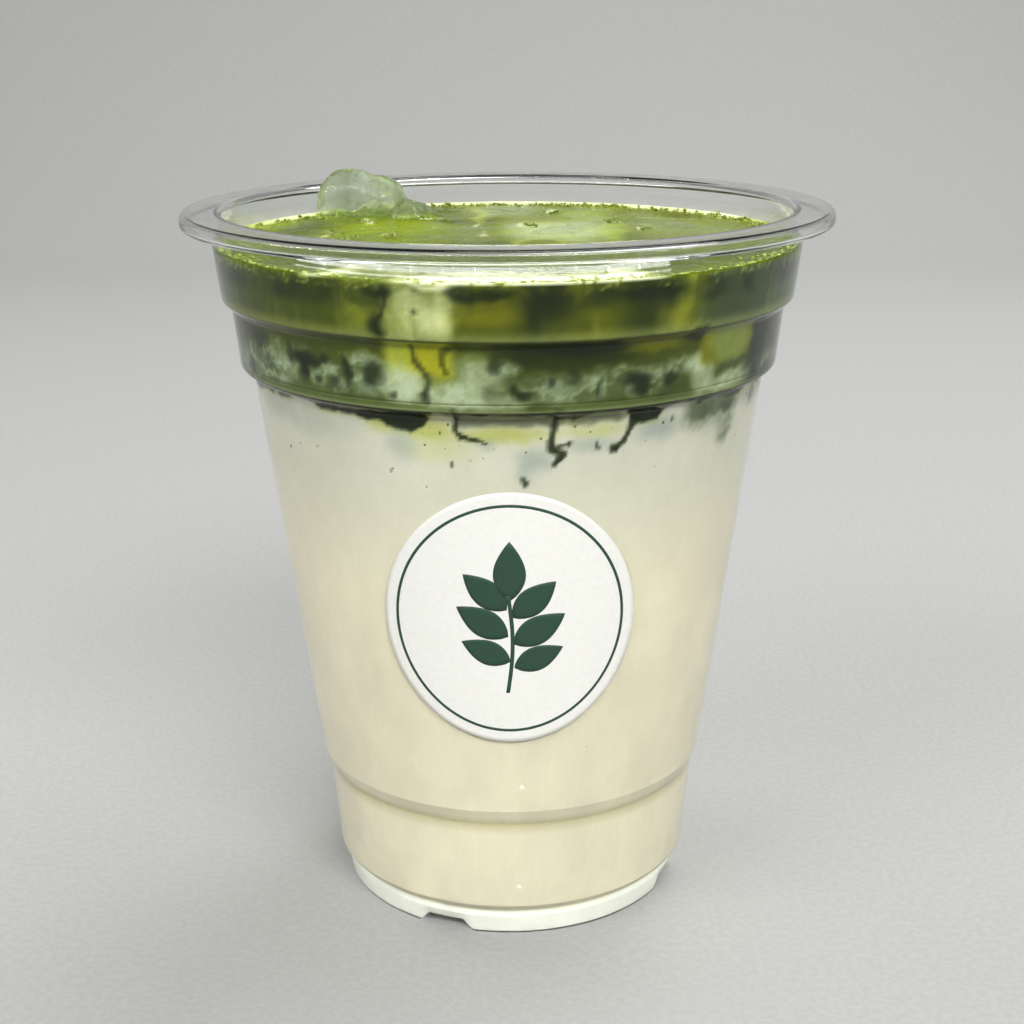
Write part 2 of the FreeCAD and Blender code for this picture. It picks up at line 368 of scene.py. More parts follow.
def makeWorld():
    # the air lights the cup softly and looks paler to the camera than it shines
    world = bpy.data.worlds.new("studio air")
    bpy.context.scene.world = world
    world.use_nodes = True
    tree = world.node_tree
    background = tree.nodes["Background"]
    background.inputs[0].default_value = (1, 1, 1, 1)
    path = tree.nodes.new("ShaderNodeLightPath")
    seen = ramp(tree, path.outputs["Is Camera Ray"], 0.0, 1.0, studio["worldStrength"], studio["worldSeen"])
    tree.links.new(seen, background.inputs[1])


def makeLights():
    areaLamp("top softbox", *studio["softbox"])
    areaLamp("right fill", *studio["fill"])
    # the keys light the drink and stay out of the plastic's mirror
    for bearing, power in studio["keys"]:
        place = around(math.radians(bearing), studio["keyDistance"], studio["keyHeight"])
        lamp = areaLamp("key %d" % bearing, place, studio["keyAim"], studio["keySize"], power)
        lamp.visible_glossy = False
        lamp.visible_transmission = False
    # a bent tube light shows only in mirrors, laid where the cup's neck mirrors it to the camera
    first, last = studio["tubeBearings"]
    count, width = studio["tubeCount"], studio["tubeWidth"]
    ends = [mirroredPlace(first + (last - first) * i / count) for i in range(count + 1)]
    aim = Vector(studio["tubeAim"])
    for i in range(count):
        middle = (ends[i] + ends[i + 1]) / 2
        along = ends[i + 1] - ends[i]
        length = along.length * studio["tubeOverlap"]
        power = math.pi * studio["tubeRadiance"] * length * width
        lamp = areaLamp("tube %d" % i, middle, aim, (length, width), power)
        lamp.visible_diffuse = False
        facing = (middle - aim).normalized()
        along = (along - facing * along.dot(facing)).normalized()
        lamp.rotation_euler = Matrix((along, facing.cross(along), facing)).transposed().to_euler()


makeStudio()
makeWorld()
makeLights()
bpy.context.scene.view_settings.view_transform = "Standard"
print("studio set")


def valueNoise(u, v, seed, wrap):
    # smooth random values on a lattice; u repeats after wrap cells
    lattice = np.random.default_rng(seed).random((wrap, 256))
    i = np.floor(u).astype(int)
    j = np.floor(v).astype(int)
    fu = u - i
    fv = v - j
    fu = fu * fu * fu * (fu * (fu * 6 - 15) + 10)
    fv = fv * fv * fv * (fv * (fv * 6 - 15) + 10)
    low, high = [lattice[i % wrap, row % 256] * (1 - fu) + lattice[(i + 1) % wrap, row % 256] * fu
                 for row in (j, j + 1)]
    return low * (1 - fv) + high * fv


def layered(sample, size, octaves):
    total = 0.0
    weight = 0.5
    for octave in range(octaves):
        total = total + weight * sample(size, octave)
        size = size * 0.53
        weight = weight * 0.55
    return total / (0.5 * (1 - 0.55 ** octaves) / 0.45)


def wallNoise(angle, height, size, seed, stretch=1.0, octaves=4):
    def sample(cell, octave):
        cells = max(8, int(round(260 / cell)))
        return valueNoise(angle / 360.0 % 1.0 * cells, height / (cell * stretch) + 7.0, seed + octave, cells)
    return layered(sample, size, octaves)


def flatNoise(x, y, size, seed, octaves=4):
    def sample(cell, octave):
        return valueNoise(x / cell + 101.3, y / cell + 83.7, seed + octave, 256)
    return layered(sample, size, octaves)


def spot(a, h, centre, size, soft=0.3):
    away = np.hypot((a - centre[0]) / size[0], (h - centre[1]) / size[1])
    return 1 - smooth(1 - soft, 1 + soft, away)


def spots(table, a, h):
    # how strong each mark of a table is, one after another
    for x, y, halfWide, halfTall, strength, soft in table:
        yield strength * spot(a, h, (x, y), (halfWide, halfTall), soft)


def stroke(a, h, points, width, soft=0.35, across=0.72):
    # line through points of (place, height, relative width)
    best = np.zeros_like(a)
    for (a0, h0, w0), (a1, h1, w1) in zip(points[:-1], points[1:]):
        dx, dy = (a1 - a0) * across, h1 - h0
        px, py = (a - a0) * across, h - h0
        t = np.clip((px * dx + py * dy) / (dx * dx + dy * dy), 0, 1)
        away = np.hypot(px - t * dx, py - t * dy) / (width * (w0 + (w1 - w0) * t))
        best = np.maximum(best, 1 - smooth(1 - soft, 1 + soft, away))
    return best


cupSize = {
    # (radius, height) of the outside, from the axis under the base to the neck
    "outside": [(0, 4.0), (22.76, 4.0), (23.56, 0), (27.16, 0), (27.7, 3.2), (27.5, 4.3), (28.73, 5.35),
                (30.03, 20.25), (31.07, 22.75), (39.27, 85.05), (41.11, 86.25), (42.06, 95.15),
                (43.48, 96.35)] + cupNeck,
    # the same corners on the inside
    "inside": [(0, 4.45), (23.21, 4.45), (24.01, 0.45), (26.71, 0.45), (27.25, 3.2), (27.05, 4.6),
               (28.28, 5.65), (29.58, 20.55), (30.62, 23.05), (38.82, 85.35), (40.66, 86.55),
               (41.61, 95.45), (43.03, 96.65), (43.95, 104.15), (42.95, 106.35)],
    "rounds": [0, 0.5, 0.45, 0.4, 1.2, 0.5, 0.7, 0.7, 0.8, 0.65, 0.65, 0.6, 0.6, 1.1, 0.8],
    # flange and rolled rim, from the neck out, round the roll and back to the inside of the neck
    "rim": [(43.4, 108.55), (48.55, 108.55), (48.55, 107.35), (47.5, 107.35), (47.5, 106.9), (49, 106.9),
            (49, 109), (42.95, 109)],
    "rimRounds": [0.5, 0.5, 0.3, 0.15, 0.15, 0.6, 0.95, 0.55],
    "columns": 280,
    "notchTurn": 22.5,
    "notchHalfWidth": 4.6,
    "notchSlope": 1.6,
    "notchLift": 1.7,
    "footTop": 3.2,
    "ring": (21.5, 23.0),  # radii between which the foot ring begins
    "wall": 0.45,
    "rows": (0.5, 2.4),  # longest step in the foot, and above it
    "innerRounds": 0.75,
}
radiusScale = rimRadius / cupSize["rim"][6][0]
heightScale = rimHeight / cupSize["rim"][6][1]


def scaled(outline):
    return [(r * radiusScale, z * heightScale) for r, z in outline]


def wallRadius(height):
    outer = scaled(cupSize["outside"])[6:10]
    return np.interp(height, [p[1] for p in outer], [p[0] for p in outer])


def notchHeight(x, y):
    # how far the foot is lifted at a place on the table
    turn = np.arctan2(x, -y) + math.radians(cupSize["notchTurn"])
    across = np.hypot(x, y) * np.abs(np.sin((turn + math.pi / 4) % (math.pi / 2) - math.pi / 4))
    return cupSize["notchLift"] * smooth(0, cupSize["notchSlope"] * 1.2, cupSize["notchHalfWidth"] - across)


def liftFoot(points, floorHeight):
    # squeezes what is below the top of the foot so that the notches open
    lift = notchHeight(points[:, 0], points[:, 1])
    inRing = smooth(*cupSize["ring"], np.hypot(points[:, 0], points[:, 1]))
    share = np.clip((cupSize["footTop"] - points[:, 2]) / (cupSize["footTop"] - floorHeight), 0, 1)
    points[:, 2] += lift * share * inRing


def clearPet():
    values = {"Base Color": (0.985, 0.992, 0.988, 1), "Transmission Weight": 1.0, "IOR": 1.38,
              "Specular IOR Level": 0.5}
    material, tree, shader, output = nodesOf("clear plastic", values)
    haze = noiseTexture(tree, 60.0, 4.0)
    tree.links.new(ramp(tree, haze.outputs["Fac"], 0.35, 0.75, 0.012, 0.05), shader.inputs["Roughness"])
    flow = noiseTexture(tree, 140.0, 2.0)
    bump(tree, shader, flow.outputs["Fac"], 0.05, 0.0003)
    lampsThrough(tree, shader, output)
    return material


def makeCup():
    outer = scaled(cupSize["outside"] + cupSize["rim"])
    inner = scaled(cupSize["inside"])
    innerRounds = [cupSize["innerRounds"] * r for r in cupSize["rounds"][::-1]]
    rounds = cupSize["rounds"] + cupSize["rimRounds"] + innerRounds
    outline = withRounds(outer + inner[::-1], dict(enumerate(rounds)))
    outline = divided(outline, lambda z: cupSize["rows"][0] if z < 5 else cupSize["rows"][1])
    points = lathePoints(outline, cupSize["columns"])
    turning = 1 + next(i for i, p in enumerate(outline) if p[1] > rimHeight - 1e-6)
    rows = np.repeat(np.arange(1, len(outline) - 1), cupSize["columns"])
    isInner = np.concatenate([[0], rows, [len(outline)]]) > turning
    outside = points[~isInner].copy()
    inside = points[isInner].copy()
    liftFoot(outside, 0)
    liftFoot(inside, cupSize["wall"])
    points[~isInner] = outside
    points[isInner] = inside
    faces = latheFaces(len(outline) - 2, cupSize["columns"])
    return makePiece("cupShell", points, faces, clearPet(), ["cup"])


makeCup()
print("cup turned")


tint = {
    "cream": (216, 211, 186), "coolMilk": (194, 195, 177), "blueMilk": (150, 158, 148),
    "foot": (238, 240, 228),
    "olive": (60, 70, 0), "deep": (12, 22, 0), "ledgeShadowLine": (0, 3, 0), "ochre": (102, 105, 0),
    "lime": (156, 165, 52), "window": (170, 178, 112), "greyGreen": (54, 70, 40), "tan": (172, 164, 118),
    "cloud": (132, 150, 118), "paleCloud": (180, 193, 160), "shade": (92, 99, 70), "foam": (138, 150, 66),
    "paleIce": (206, 212, 158), "iceTop": (232, 236, 200),
    "collarFoot": (134, 144, 84), "gold": (150, 148, 12),
    "iceFace": (124, 140, 74), "lens": (80, 94, 44), "ledgeLight": (150, 160, 110), "collarCreaseShade": (58, 66, 10),
}

# marks at the wall: bearing, height, half width, half height, strength, softness
marks = {
    "ink": [
        (-23.4, 98.2, 1.7, 1.5, 0.8, 0.7), (-22.6, 102.9, 2.6, 0.7, 0.8, 0.7),
        (-9, 103, 1.6, 0.9, 0.8, 0.7), (-6.5, 102.6, 2.2, 1, 0.8, 0.7),
        (-2, 102.8, 2.6, 0.7, 0.9, 0.7), (6.5, 101.4, 3.2, 1.9, 0.6, 0.8),
        (22, 102.4, 4, 0.8, 0.7, 0.8), (28, 102.3, 4.5, 1, 0.7, 0.8),
        (-15.7, 100.1, 0.5, 0.35, 0.7, 0.6), (-41.5, 91.9, 4.4, 1, 0.85, 0.5),
        (-42.5, 90.4, 1.4, 1.4, 0.85, 0.6), (-31.2, 91.2, 1.1, 1.9, 0.75, 0.6),
        (-25.8, 91.1, 2.3, 2, 0.75, 0.5), (-55, 90.4, 2.6, 0.9, 0.4, 0.7),
        (-63, 88.8, 3.4, 1.1, 0.45, 0.7), (-46.5, 92.6, 1.2, 1.6, 0.5, 0.6),
        (-57, 93.3, 3, 1.3, 0.6, 0.6), (-36.5, 92.2, 1.3, 0.8, 0.5, 0.6),
        (-38.7, 89.6, 0.9, 0.7, 0.55, 0.6), (-34.4, 89.4, 1.3, 0.8, 0.6, 0.6),
        (-21.9, 88.7, 0.8, 0.5, 0.6, 0.6), (-15.5, 88.3, 0.9, 0.9, 0.6, 0.6),
        (-3.4, 89.2, 1.2, 0.9, 0.35, 0.8), (2.6, 88.9, 1.5, 0.7, 0.8, 0.6),
        (1, 89.9, 0.9, 0.9, 0.7, 0.6), (7.6, 90.6, 0.9, 0.9, 0.7, 0.6),
        (16.6, 89.6, 0.6, 1, 0.6, 0.6), (24.5, 90.6, 3.4, 0.9, 0.85, 0.5),
        (25.5, 89.2, 2.2, 1, 0.8, 0.5), (31.5, 89.7, 1.6, 1, 0.75, 0.5),
        (12, 91.2, 1.2, 1.3, 0.5, 0.6), (36.7, 95.6, 2.3, 1, 0.95, 0.5),
        (13.5, 95, 9, 0.9, 0.95, 0.6), (-2.5, 93.2, 1.2, 1.3, 0.6, 0.6),
        (65, 87.6, 2.6, 0.8, 0.5, 0.7), (3.5, 76.2, 0.6, 0.75, 0.85, 0.6),
        (17.9, 81.1, 0.5, 0.6, 0.8, 0.6), (21.8, 80.3, 0.9, 0.7, 0.9, 0.6),
        (12.3, 81.5, 0.8, 0.35, 0.7, 0.7), (35.6, 83.3, 0.4, 0.4, 0.6, 0.6),
        (-25.6, 76.8, 0.35, 0.25, 0.5, 0.7), (-12, 78.5, 0.25, 0.45, 0.8, 0.6),
        (-7.7, 79.3, 0.2, 0.25, 0.5, 0.6), (-44.8, 78.5, 0.5, 0.2, 0.4, 0.6)],
    "cloud": [
        (-54, 90, 10, 2.6, 0.9, 0.6), (-64, 88.8, 8, 2.4, 0.7, 0.6),
        (-36, 90.2, 5, 2.2, 0.9, 0.5), (-27, 91, 4.6, 3, 0.9, 0.35),
        (-31, 93, 6, 0.9, 0.4, 0.8), (-47, 93, 7, 0.9, 0.4, 0.8),
        (12, 89.6, 14, 1.9, 0.75, 0.5), (20, 91.6, 4, 1, 0.6, 0.6),
        (34, 91.3, 3.2, 1.5, 0.8, 0.5), (-1, 92.6, 3, 1.2, 0.7, 0.6),
        (26, 89.9, 6, 2.1, 0.7, 0.4), (62, 88.6, 9, 1.4, 0.5, 0.8)],
    "milk": [
        (-20, 89.9, 4.2, 2.6, 0.9, 0.6), (-12, 88.7, 7.5, 1.9, 0.85, 0.5),
        (-5.5, 91.4, 3.6, 2.6, 0.85, 0.7), (40, 89.4, 3.4, 3, 0.85, 0.5),
        (48, 87.9, 7, 1.4, 0.8, 0.5), (38.5, 91.6, 2.2, 1.3, 0.6, 0.6),
        (-2, 87.8, 5, 1.2, 0.6, 0.6), (-52, 87.9, 3.5, 0.7, 0.5, 0.6)],
    "haze": [
        (-22, 81.2, 3, 2.3, 0.6, 0.9), (5.3, 79.2, 3.2, 1.6, 0.75, 0.9),
        (3.5, 77.2, 1.6, 1.4, 0.5, 0.9), (17, 81.2, 4.6, 1.1, 0.6, 0.8),
        (32, 82.2, 5, 1.6, 0.8, 0.8), (-42, 82.4, 10, 2, 0.35, 0.9),
        (-4.5, 81.6, 2, 0.8, 0.6, 0.8), (-59, 83, 6, 1.8, 0.4, 0.9)],
    "lobe": [
        (43.5, 83.6, 4, 2.6, 0.75, 0.7), (47.5, 82.4, 3.4, 2.2, 0.6, 0.8),
        (53, 81.4, 3.6, 3.4, 0.9, 0.5), (54, 84.6, 6, 1.8, 0.7, 0.7),
        (66, 83.6, 5, 1.6, 0.6, 0.8)],
    "lime": [
        (-26.5, 83.6, 2.6, 1.3, 0.6, 0.8), (-16, 83.4, 4, 1.6, 0.75, 0.8),
        (-1, 82.9, 8.5, 1.2, 0.8, 0.7), (17, 83.2, 6.5, 0.8, 0.5, 0.8),
        (-14, 81, 6, 2, 0.3, 0.9)],
}

# threads of tea: points of (bearing, height, relative width), width, strength
threads = [
    ([(-10.6, 86.2, 1.1), (-10.4, 83.6, 0.9), (-9.4, 82.4, 1.1), (-6.6, 82.1, 0.9),
      (-4.4, 81.6, 0.35)], 0.46, 0.85),
    ([(9.6, 86.2, 1.4), (8.7, 84.4, 1), (8.6, 82, 0.9), (9, 80.9, 1.2),
      (10.9, 80.2, 1), (9.3, 78.4, 0.9)], 0.46, 0.85),
    ([(10, 81.2, 0.7), (12.6, 81.7, 0.8)], 0.3, 0.6),
    ([(26.5, 84.6, 1.6), (24.8, 82.8, 0.9), (24, 81.4, 0.8), (22.4, 80.4, 0.8)], 0.5, 0.85),
    ([(-21.9, 103.4, 1), (-21.9, 99.6, 0.8), (-23, 97.4, 1.4)], 0.34, 0.6),
    ([(-18, 95.6, 0.8), (-16.4, 93.2, 1), (-15, 91, 1.2), (-15.5, 88.6, 0.9)], 0.36, 0.6),
    ([(-10.2, 95.2, 1.4), (-12, 93.8, 1), (-11.6, 92, 0.9)], 0.42, 0.5),
]

# lowest height of the dark under the ledge, by bearing: tea that hangs there, and from about 60 degrees on
# the right painted shadow under the ledge
tideLine = [(-75, 83.5), (-66, 84.6), (-59, 85), (-57, 84.6), (-53, 84.5), (-49, 86.1), (-45, 85.9),
            (-43, 84.6), (-37, 84.5), (-31, 84.2), (-27, 84), (-24.5, 83.2), (-20, 82.7), (-17.5, 83.6),
            (-15.5, 85.2), (-14, 86.2), (-11, 86.4), (-4, 86.2), (6, 86.2), (9, 85.4), (13, 84.9),
            (17, 86.2), (23.5, 86.3), (25, 84.2), (27, 83.6), (31, 83.8), (34, 86), (40, 86.2),
            (42.5, 85), (47, 85.4), (50, 85), (57.5, 84.4), (61, 85.2), (68, 84.6), (75, 84.2)]

frontEdge = 72.0  # the marks cover this much to each side; behind they come back wider and mirrored


def folded(angle):
    a = (angle + 180.0) % 360.0 - 180.0
    back = np.where(a < -frontEdge, a + 360.0, a)
    mirrored = frontEdge - (back - frontEdge) * frontEdge / (180.0 - frontEdge)
    return np.where(np.abs(a) <= frontEdge, a, mirrored)


def putMarks(paint, a, h, kind, tone, amount=1.0):
    for strength in spots(marks[kind], a, h):
        paint = mix(paint, tint[tone], amount * strength)
    return paint


def milkPaint(a, h, angle, height, coarse):
    # creamy low down, cooler towards the tea
    paint = filled(a.shape, tint["cream"])
    paint = mix(paint, tint["coolMilk"], smooth(56, 80, height + 8 * (coarse - 0.5)) * 0.9)
    paint = putMarks(paint, a, h, "haze", "blueMilk")
    paint = putMarks(paint, a, h, "lime", "lime", 0.7)
    wisps = smooth(0.35, 0.65, wallNoise(angle, height, 3.0, 91))
    paint = putMarks(paint, a, h, "lobe", "greyGreen", 0.35 + 0.65 * wisps)
    # whiter in the foot; painted shade as tan lines in the folds above the foot and at the lower step;
    # painted shadow under the ledge at the front
    return coated(paint, tint, [
        ("foot", 1 - smooth(3.6, 5.0, height)),
        ("tan", 0.7 * between(20.1, 20.6, 0.25, height) + 0.6 * between(4.2, 5.1, 0.3, height)),
        ("shade", 0.8 * smooth(83.7, 84.7, h) * between(-11, 24, 1.5, a))])


def collarPaint(a, h, angle, height, columns):
    a = a + 7.0 * (wallNoise(angle, height, 5.0, 117, stretch=1.4, octaves=3) - 0.5)
    pane = between(-21.2, -8.5, 2.4, a) * (1 - 0.5 * smooth(102.5, 103.5, h))  # ice at the wall
    return coated(filled(a.shape, tint["olive"]), tint, [
        ("greyGreen", smooth(35, 41, a) + (1 - smooth(-66, -56, a))),
        ("ochre", between(-9, 2, 4.0, a) * smooth(97, 100, height) + 0.5 * between(10, 17, 4.0, a)),
        ("ochre", 0.7 * between(27, 37, 4.0, a)),
        ("deep", 0.6 * between(2, 9, 4.0, a) + 0.45 * between(19, 29, 5.0, a)),
        ("lime", 0.5 * between(-29, -22, 4.0, a) * smooth(96, 98, height)),
        ("lime", 0.5 * between(30.5, 36, 3.5, a) * smooth(96, 98, height)),
        ("deep", 0.45 * smooth(0.50, 0.78, columns) * smooth(98, 103, height)),
        ("foam", 0.22 * smooth(0.58, 0.85, columns)),
        ("window", pane * (0.55 + 0.45 * smooth(0.35, 0.6, columns))),
        ("paleIce", 0.7 * spot(a, h, (-14.5, 99.8), (3.0, 3.0), 0.6)),
        ("iceTop", 0.8 * spot(a, h, (-12.6, 103.7), (2.6, 0.6), 0.6)),
        ("collarFoot", 0.6 * (1 - smooth(96.6, 98.4, height)) * smooth(96.3, 96.5, height))])


def bandPaint(a, h, angle, height):
    # dark above, mixing with milk below
    mottle = smooth(0.3, 0.7, wallNoise(angle, height, 2.4, 77))
    sides = smooth(52, 57, a) + 0.7 * (1 - smooth(-64, -56, a))
    paint = coated(filled(a.shape, tint["olive"]), tint, [
        ("greyGreen", 0.5 * (1 - smooth(91, 94, h))),
        ("deep", 0.6 * between(-2, 24, 4.0, a) * smooth(91.5, 93.5, h)),
        ("deep", sides * (0.5 + 0.4 * mottle)),
        ("ochre", 0.7 * between(21, 34, 2.0, a) * smooth(93.6, 94.4, h)),
        ("lime", 0.9 * between(-23, -9.5, 1.5, a) * smooth(89, 92.5, h)),
        ("gold", 0.75 * between(-18, -10, 1.5, a) * between(91.4, 95.4, 0.6, h))])
    clouds = np.zeros_like(a)
    for strength in spots(marks["cloud"], a, h):
        clouds = np.maximum(clouds, strength)
    cells = smooth(0.36, 0.62, wallNoise(angle, height, 2.4, 71))
    curls = 1 - smooth(0.0, 0.11, np.abs(wallNoise(angle, height, 2.6, 81, octaves=5) - 0.5))
    paint = coated(paint, tint, [
        ("cloud", clouds * (0.35 + 0.6 * cells)),
        ("paleCloud", clouds * curls * 0.6)])
    paint = putMarks(paint, a, h, "milk", "paleCloud", 0.75 + 0.25 * cells)
    # lens of green along the foot of the band
    lens = (1 - smooth(87.8, 88.3, h + 0.10 * np.maximum(0, a + 26))) * between(-58, -14, 3.0, a)
    lens = np.maximum(lens, (1 - smooth(87.3, 88.0, h)) * between(9, 38, 3.0, a))
    return coated(paint, tint, [
        ("ochre", between(39, 55, 1.4, a) * smooth(90.2, 91.6, h)),
        ("iceFace", 0.75 * spot(a, h, (47.5, 93.8), (6.4, 3.2), 0.35)),
        ("lens", 0.8 * lens)])


def wallPaint(points):
    angle = np.degrees(np.arctan2(points[:, 0], -points[:, 1]))
    height = points[:, 2]
    a = folded(angle) + 2.2 * (wallNoise(angle, height, 2.6, 11) - 0.5)
    h = height + 1.3 * (wallNoise(angle, height, 2.0, 23) - 0.5)
    coarse = wallNoise(angle, height, 7.0, 41)
    grain = wallNoise(angle, height, 0.5, 51, octaves=2)
    columns = wallNoise(angle, height, 1.6, 61, stretch=9.0, octaves=3)
    inBand = smooth(86.2, 86.5, height)[..., None]
    inCollar = smooth(96.2, 96.5, height)[..., None]
    paint = milkPaint(a, h, angle, height, coarse) * (1 - inBand) + bandPaint(a, h, angle, height) * inBand
    paint = paint * (1 - inCollar) + collarPaint(a, h, angle, height, columns) * inCollar
    # tea under the ledge, painted shadow under it from about 60 degrees on the right, and a painted shadow
    # line just under the ledge all round
    tide = np.interp(a, [point[0] for point in tideLine], [point[1] for point in tideLine])
    belowLedge = 1 - smooth(86.3, 86.5, height)
    hang = smooth(-0.35, 0.35, h - tide) * belowLedge
    paint = coated(paint, tint, [
        ("lime", 0.3 * smooth(-1.1, 0.1, h - tide) * belowLedge * (1 - hang)),
        ("deep", 0.95 * hang),
        ("ledgeShadowLine", 0.85 * between(85.8, 86.35, 0.2, height) * (0.45 + 0.55 * hang))])
    paint = putMarks(paint, a, h, "ink", "deep")
    for places, width, strength in threads:
        paint = mix(paint, tint["deep"], strength * stroke(a, h, places, width, 0.6))
    # painted light on the lower ledge, painted shade in the groove under the collar, a darker band and froth
    # at the top
    patchy = 0.3 + 0.7 * smooth(0.4, 0.65, wallNoise(angle, height, 3.5, 131, octaves=3))
    froth = smooth(102.6, 103.7, height + 1.6 * (grain - 0.5)) * (0.1 + 0.6 * smooth(0.45, 0.8, grain))
    paint = coated(paint, tint, [
        ("ledgeLight", 0.5 * between(86.45, 86.75, 0.15, height)),
        ("collarCreaseShade", 0.8 * between(96.2, 96.42, 0.1, height)),
        ("deep", 0.5 * between(100.5, 103.4, 0.9, h) * patchy),
        ("foam", froth * patchy)])
    inTea = smooth(84, 88, height)
    mottled = 1 + (0.02 + 0.10 * inTea) * (grain - 0.5) + 0.08 * (coarse - 0.5)
    return np.clip(paint * mottled[..., None], 0, 255)


surfaceTint = {
    "green": (96, 110, 2), "bright": (128, 146, 0), "deep": (62, 76, 2), "oliveGold": (106, 108, 0),
    "pale": (176, 192, 132), "mist": (140, 152, 102), "yellow": (180, 192, 88), "edge": (212, 218, 172),
    "froth": (236, 240, 214),
}

# patches seen from above: x, y, half width, half depth, strength, softness
patches = {
    "deep": [
        (-32, 13, 2.6, 9, 0.9, 0.6), (-7, -7, 8, 4, 0.8, 0.6), (12, -10, 9, 3, 0.6, 0.7),
        (-24, -12, 10, 6, 0.5, 0.8), (-15, 36, 5, 10, 0.5, 0.8), (-8, 8, 2, 9, 0.6, 0.8),
        (0, -30, 40, 10, 0.5, 0.8), (-10, 21, 1.6, 6, 0.6, 0.8)],
    "bright": [
        (-17, 13, 8, 9, 0.95, 0.5), (-24.5, 8, 3, 8, 0.8, 0.6), (17, 6, 2, 12, 0.9, 0.6),
        (-17, -3, 7, 6, 0.6, 0.8), (-38, 22, 4, 12, 0.4, 0.8)],
    "oliveGold": [
        (27, -2, 6, 6, 0.85, 0.7), (3, 22, 5, 6, 0.5, 0.8), (33, 28, 6, 8, 0.5, 0.8)],
    "mist": [
        (0.5, 34, 7, 11, 0.85, 0.5), (28, 11, 9.5, 10, 0.7, 0.6), (-6.5, 8, 3.4, 9, 0.6, 0.8),
        (23, 22, 3, 9, 0.5, 0.8), (-30, 8, 3, 12, 0.3, 0.9)],
    "pale": [
        (8, 9, 9, 13, 0.95, 0.5), (13, 28, 5, 10, 0.55, 0.8), (-15, 25, 5, 2, 0.7, 0.8)],
    "yellow": [
        (-4.4, 27, 1.2, 9, 0.7, 0.8), (4, -6, 3.6, 5.4, 0.6, 0.3), (-41, 24, 2, 12, 0.5, 0.8)],
    "green": [
        (4.2, -7, 2.6, 4.6, 0.8, 0.4)],
    # painted highlights where the wet surface catches the light, laid as pale froth where froth bubbles also
    # sit
    "froth": [
        (-22.6, 20, 0.8, 4, 0.8, 0.6), (-23, 1, 0.8, 1.8, 0.8, 0.6),
        (-27.5, 6, 0.6, 3.6, 0.8, 0.6), (-15, 24.6, 3.2, 1.2, 0.7, 0.7),
        (-18, 3, 0.5, 1.6, 0.7, 0.7), (-5, 14, 0.5, 2.2, 0.6, 0.7),
        (-4, 5, 0.5, 1.6, 0.6, 0.7), (8, 31, 0.6, 2.6, 0.7, 0.6), (3, 16, 0.5, 2.2, 0.6, 0.7),
        (17, 19.5, 0.9, 1.5, 0.8, 0.6), (21.5, 10, 0.5, 2.8, 0.8, 0.6),
        (36, 26, 1.8, 4, 0.7, 0.7), (26, 40, 1.4, 2, 0.7, 0.7), (-29, 27, 1.2, 1.6, 0.7, 0.7),
        (-12, -6, 0.4, 1.6, 0.5, 0.7)],
}


def surfacePaint(x, y):
    wobbleX = x + 4.0 * (flatNoise(x, y, 7.0, 211, 2) - 0.5)
    wobbleY = y + 6.0 * (flatNoise(x, y, 7.0, 223, 2) - 0.5)
    radius = np.hypot(x, y)
    coarse = flatNoise(x, y, 8.0, 231, 2)
    fine = flatNoise(x, y, 1.3, 241, 2)
    paint = filled(x.shape, surfaceTint["green"])
    paint = mix(paint, surfaceTint["deep"], 0.6 * smooth(0.45, 0.8, coarse))
    for kind, places in patches.items():
        for strength in spots(places, wobbleX, wobbleY):
            paint = mix(paint, surfaceTint[kind], strength)
    # pale froth gathered behind the front of the neck
    turn = np.degrees(np.arctan2(x, -y))
    gathered = smooth(31, 38, radius + 5 * (coarse - 0.5)) * between(-38, 28, 2.5, turn)
    gathered = gathered * (1 - 0.8 * between(-34, -20, 3.0, turn) * smooth(0.35, 0.6, coarse))
    holes = smooth(0.68, 0.8, flatNoise(x, y, 0.9, 251, 2))
    # a painted highlight where the drink climbs the far wall, dark tea towards the front, the froth last
    paint = coated(paint, surfaceTint, [
        ("edge", 0.9 * smooth(42.6, 43.3, radius) * smooth(5, 25, y)),
        ("deep", 0.7 * smooth(41.5, 43.5, radius) * smooth(0, 20, -y)),
        ("froth", 0.8 * gathered * (1 - 0.7 * holes))])
    return np.clip(paint * (1 + 0.05 * (fine - 0.5))[..., None], 0, 255)


drink = {
    "columns": 560,
    "fineRow": 0.36,
    "coarseRow": 2.0,
    "footRow": 0.6,
    "footTop": 6,
    "plainTop": 73.0,  # the rows are fine above this height
    "floorRing": 4.0,
    "ring": 0.6,
    "meniscus": 0.45,
    "meniscusWidth": 1.0,
    "ripple": 0.30,
    "rippleSize": 8.0,
    "calm": (38, 42),  # radii between which the ripples die down
    "wallLift": 0.22,
    "rounds": 0.85,
    "surfaceGloss": 0.08,
}
wallStart = 8  # corners of the outline before this one belong to the foot


def wallOutline():
    # half way into the wall, so that no air shows between the drink and the cup
    outer = np.array(scaled(cupSize["outside"]))
    inner = np.array(scaled(cupSize["inside"]))
    corners = [tuple(p) for p in (outer + inner) / 2]
    return withRounds(corners, {i: drink["rounds"] * r for i, r in enumerate(cupSize["rounds"][:-1])})


def onOutline(outline, height):
    wall = outline[wallStart:]
    return float(np.interp(height, [p[1] for p in wall], [p[0] for p in wall])), height


def rowLength(height):
    if height > drink["plainTop"]:
        return drink["fineRow"]
    return drink["coarseRow"] if height > drink["footTop"] else drink["footRow"]


def milkMaterial():
    values = {"Roughness": 0.5, "IOR": 1.35, "Specular IOR Level": 0.0}
    material, tree, shader, output = nodesOf("milk", values)
    paintUnder(tree, shader, noiseTexture(tree, 320.0, 5.0), 0.10)
    return material


